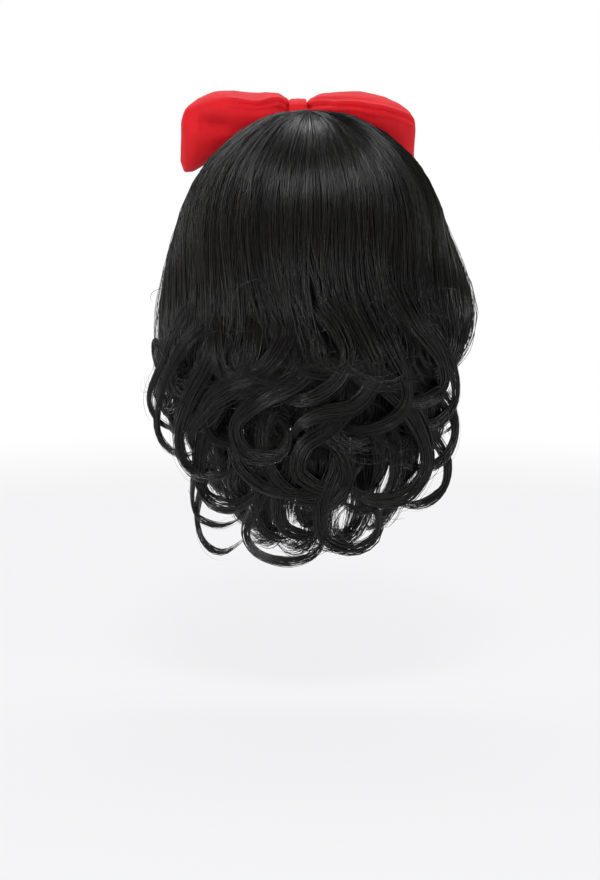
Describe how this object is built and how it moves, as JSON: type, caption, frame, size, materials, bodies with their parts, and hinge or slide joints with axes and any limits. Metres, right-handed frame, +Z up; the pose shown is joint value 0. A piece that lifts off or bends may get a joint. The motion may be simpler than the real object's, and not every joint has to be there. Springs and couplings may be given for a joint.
{
  "type": "short curly wig",
  "caption": "Short wig of dark locks that fall from the crown to fat curls round the neck, on an open cap, with a padded bow on the top of the front.",
  "frame": {"origin": "where the crown of the head touches the inside of the cap", "axes": "+Z up out of the top of the head, -Y out of the face, +X towards the wearer's left"},
  "size_m": [0.2456, 0.2312, 0.352],
  "materials": {
    "black_hair": "glossy synthetic fibre",
    "cap_net": "matt net",
    "red_cloth": "matt smooth cloth",
    "clip_lacquer": "satin"
  },
  "bodies": {
    "root": {"wig_cap": "cap_net", "crown_lock_01": "black_hair", "crown_lock_02": "black_hair", "crown_lock_03": "black_hair", "crown_lock_04": "black_hair", "crown_lock_05": "black_hair", "crown_lock_06": "black_hair", "crown_lock_07": "black_hair", "crown_lock_08": "black_hair", "crown_lock_09": "black_hair", "crown_lock_10": "black_hair", "crown_lock_11": "black_hair", "crown_lock_12": "black_hair", "under_lock_01": "black_hair", "under_lock_02": "black_hair", "under_lock_03": "black_hair", "under_lock_04": "black_hair", "under_lock_05": "black_hair", "under_lock_06": "black_hair", "under_lock_07": "black_hair", "under_lock_08": "black_hair", "under_lock_09": "black_hair", "under_lock_10": "black_hair", "under_lock_11": "black_hair", "nape_lock_1": "black_hair", "nape_lock_2": "black_hair", "nape_lock_3": "black_hair", "nape_lock_4": "black_hair", "nape_lock_5": "black_hair", "nape_lock_6": "black_hair", "bow_loop_left": "red_cloth", "bow_loop_right": "red_cloth", "bow_knot": "red_cloth", "bow_clip": "clip_lacquer"}
  },
  "joints": []
}
